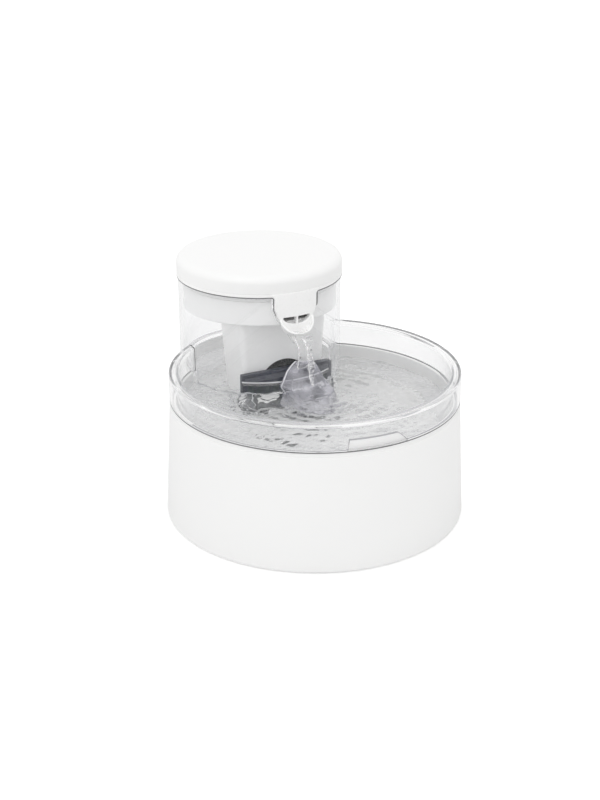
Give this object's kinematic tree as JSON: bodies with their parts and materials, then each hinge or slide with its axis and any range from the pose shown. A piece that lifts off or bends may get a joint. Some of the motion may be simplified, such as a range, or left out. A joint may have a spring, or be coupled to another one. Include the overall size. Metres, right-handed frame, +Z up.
{
  "type": "pet water fountain",
  "caption": "Pet water fountain: white drum base, clear drinking bowl, clear filter tower with a lidded upper basin and spout, and a magnetically driven pump.",
  "frame": {"origin": "on the table under the middle of the whole footprint", "axes": "+Y from the drinking side to the tower, +Z up, +X to the right seen from the drinking side"},
  "size_m": [0.213, 0.257, 0.165],
  "materials": {
    "base_housing": "satin",
    "bottom_cover": "fine grain",
    "rubber_feet": "matte",
    "cover_screws": "zinc plated",
    "motor_can": "drawn steel",
    "motor_bracket": "pressed steel",
    "bracket_screws": "zinc plated",
    "control_board": "solder mask",
    "board_parts": "moulded",
    "board_screws": "zinc plated",
    "dc_socket": "moulded",
    "wire_leads": "extruded",
    "drive_shaft": "ground",
    "drive_magnet": "sintered",
    "bowl": "clear polished",
    "impeller_pin": "ground",
    "impeller": "moulded",
    "impeller_magnet": "sintered",
    "impeller_bush": "ground",
    "pump_cover": "moulded",
    "prefilter_foam": "open cell foam",
    "tower_shell": "clear polished",
    "filter_frame": "moulded",
    "filter_pad": "carbon fleece",
    "filter_cap": "moulded",
    "upper_basin": "gloss",
    "basin_shroud": "gloss",
    "riser_tube": "gloss",
    "spout_ring": "gloss",
    "lid": "gloss",
    "lid_seal": "silicone",
    "splash_ramp": "clear polished"
  },
  "bodies": {
    "base": {"base_housing": "base_housing", "bottom_cover": "bottom_cover", "rubber_feet": "rubber_feet", "cover_screws": "cover_screws", "motor_can": "motor_can", "motor_bracket": "motor_bracket", "bracket_screws": "bracket_screws", "control_board": "control_board", "board_parts": "board_parts", "board_screws": "board_screws", "dc_socket": "dc_socket", "wire_leads": "wire_leads"},
    "drive_rotor": {"drive_shaft": "drive_shaft", "drive_magnet": "drive_magnet"},
    "bowl_unit": {"bowl": "bowl", "impeller_pin": "impeller_pin"},
    "impeller_rotor": {"impeller": "impeller", "impeller_magnet": "impeller_magnet", "impeller_bush": "impeller_bush"},
    "pump_head": {"pump_cover": "pump_cover", "prefilter_foam": "prefilter_foam"},
    "tower": {"tower_shell": "tower_shell"},
    "filter": {"filter_frame": "filter_frame", "filter_pad": "filter_pad", "filter_cap": "filter_cap"},
    "upper_unit": {"upper_basin": "upper_basin", "basin_shroud": "basin_shroud", "riser_tube": "riser_tube", "spout_ring": "spout_ring"},
    "lid_unit": {"lid": "lid", "lid_seal": "lid_seal"},
    "ramp": {"splash_ramp": "splash_ramp"}
  },
  "joints": [
    {"name": "drive_spin", "type": "hinge", "parent": "base", "child": "drive_rotor", "pos_m": [0, 0.054, 0.02], "axis": [0, 0, 1], "continuous": true},
    {"name": "bowl_lift", "type": "slide", "parent": "base", "child": "bowl_unit", "axis": [0, 0, 1], "range_m": [0, 0.06]},
    {"name": "impeller_spin", "type": "hinge", "parent": "bowl_unit", "child": "impeller_rotor", "pos_m": [0, 0.054, 0.04], "axis": [0, 0, 1], "continuous": true},
    {"name": "pump_head_lift", "type": "slide", "parent": "bowl_unit", "child": "pump_head", "axis": [0, 0, 1], "range_m": [0, 0.012]},
    {"name": "tower_lift", "type": "slide", "parent": "bowl_unit", "child": "tower", "axis": [0, 0, 1], "range_m": [0, 0.1]},
    {"name": "filter_lift", "type": "slide", "parent": "tower", "child": "filter", "axis": [0, 0, 1], "range_m": [0, 0.034]},
    {"name": "upper_lift", "type": "slide", "parent": "tower", "child": "upper_unit", "axis": [0, 0, 1], "range_m": [0, 0.09]},
    {"name": "lid_lift", "type": "slide", "parent": "upper_unit", "child": "lid_unit", "axis": [0, 0, 1], "range_m": [0, 0.03]},
    {"name": "ramp_slide", "type": "slide", "parent": "bowl_unit", "child": "ramp", "axis": [0, -0.9397, 0.3419], "range_m": [0, 0.04]}
  ]
}
